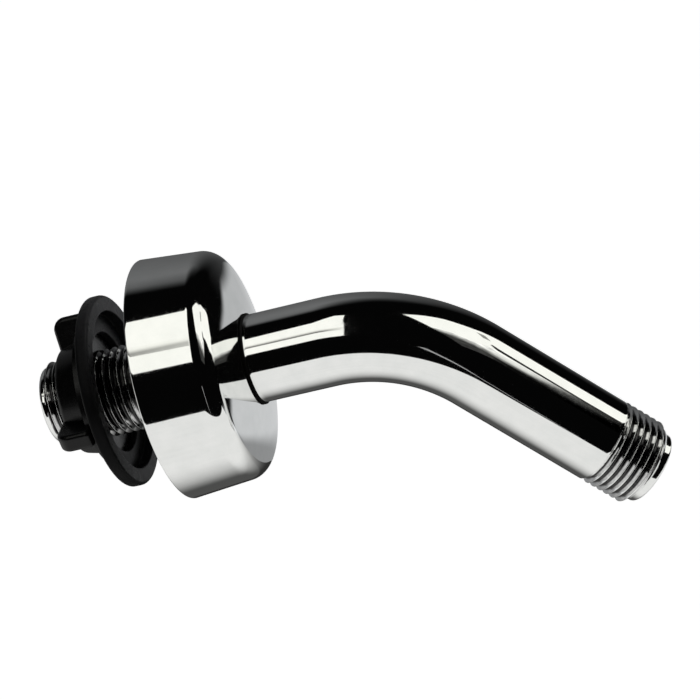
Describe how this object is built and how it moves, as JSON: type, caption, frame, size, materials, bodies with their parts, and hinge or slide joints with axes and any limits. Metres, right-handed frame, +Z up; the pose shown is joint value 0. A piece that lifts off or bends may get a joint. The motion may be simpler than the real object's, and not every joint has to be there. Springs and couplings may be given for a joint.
{
  "type": "shower arm",
  "caption": "Chrome shower arm: bent pipe with threaded ends, bell-shaped cover flange and a dished washer and wing nut that clamp it to a wall panel.",
  "frame": {"origin": "on the inlet axis in the wall plane, where the cover flange's rim meets the wall", "axes": "+X out of the wall along the inlet, +Z up, the pipe bends down in the XZ plane"},
  "size_m": [0.1412, 0.0586, 0.0884],
  "materials": {
    "pipe_chrome": "mirror-bright plating",
    "flange_chrome": "mirror-bright plating",
    "ring_rubber": "matt black",
    "washer_plastic": "moulded black, half gloss",
    "nut_plastic": "moulded black, soft sheen"
  },
  "bodies": {
    "arm": {"arm_pipe": "pipe_chrome", "sealing_ring": "ring_rubber"},
    "flange": {"cover_flange": "flange_chrome"},
    "washer": {"dished_washer": "washer_plastic"},
    "nut": {"wing_nut": "nut_plastic"}
  },
  "joints": [
    {"name": "flange_slide", "type": "slide", "parent": "arm", "child": "flange", "axis": [1, 0, 0], "range_m": [-0.004, 0]},
    {"name": "washer_slide", "type": "slide", "parent": "arm", "child": "washer", "axis": [1, 0, 0], "range_m": [-0.00182, 0.00726]},
    {"name": "nut_turn", "type": "hinge", "parent": "washer", "child": "nut", "pos_m": [-0.02015, 0, 0], "axis": [1, 0, 0], "range_deg": [-360, 1440]}
  ],
  "couplings": [
    {"joint": "washer_slide", "follows": "nut_turn", "m_per_rad": 0.00028875}
  ]
}
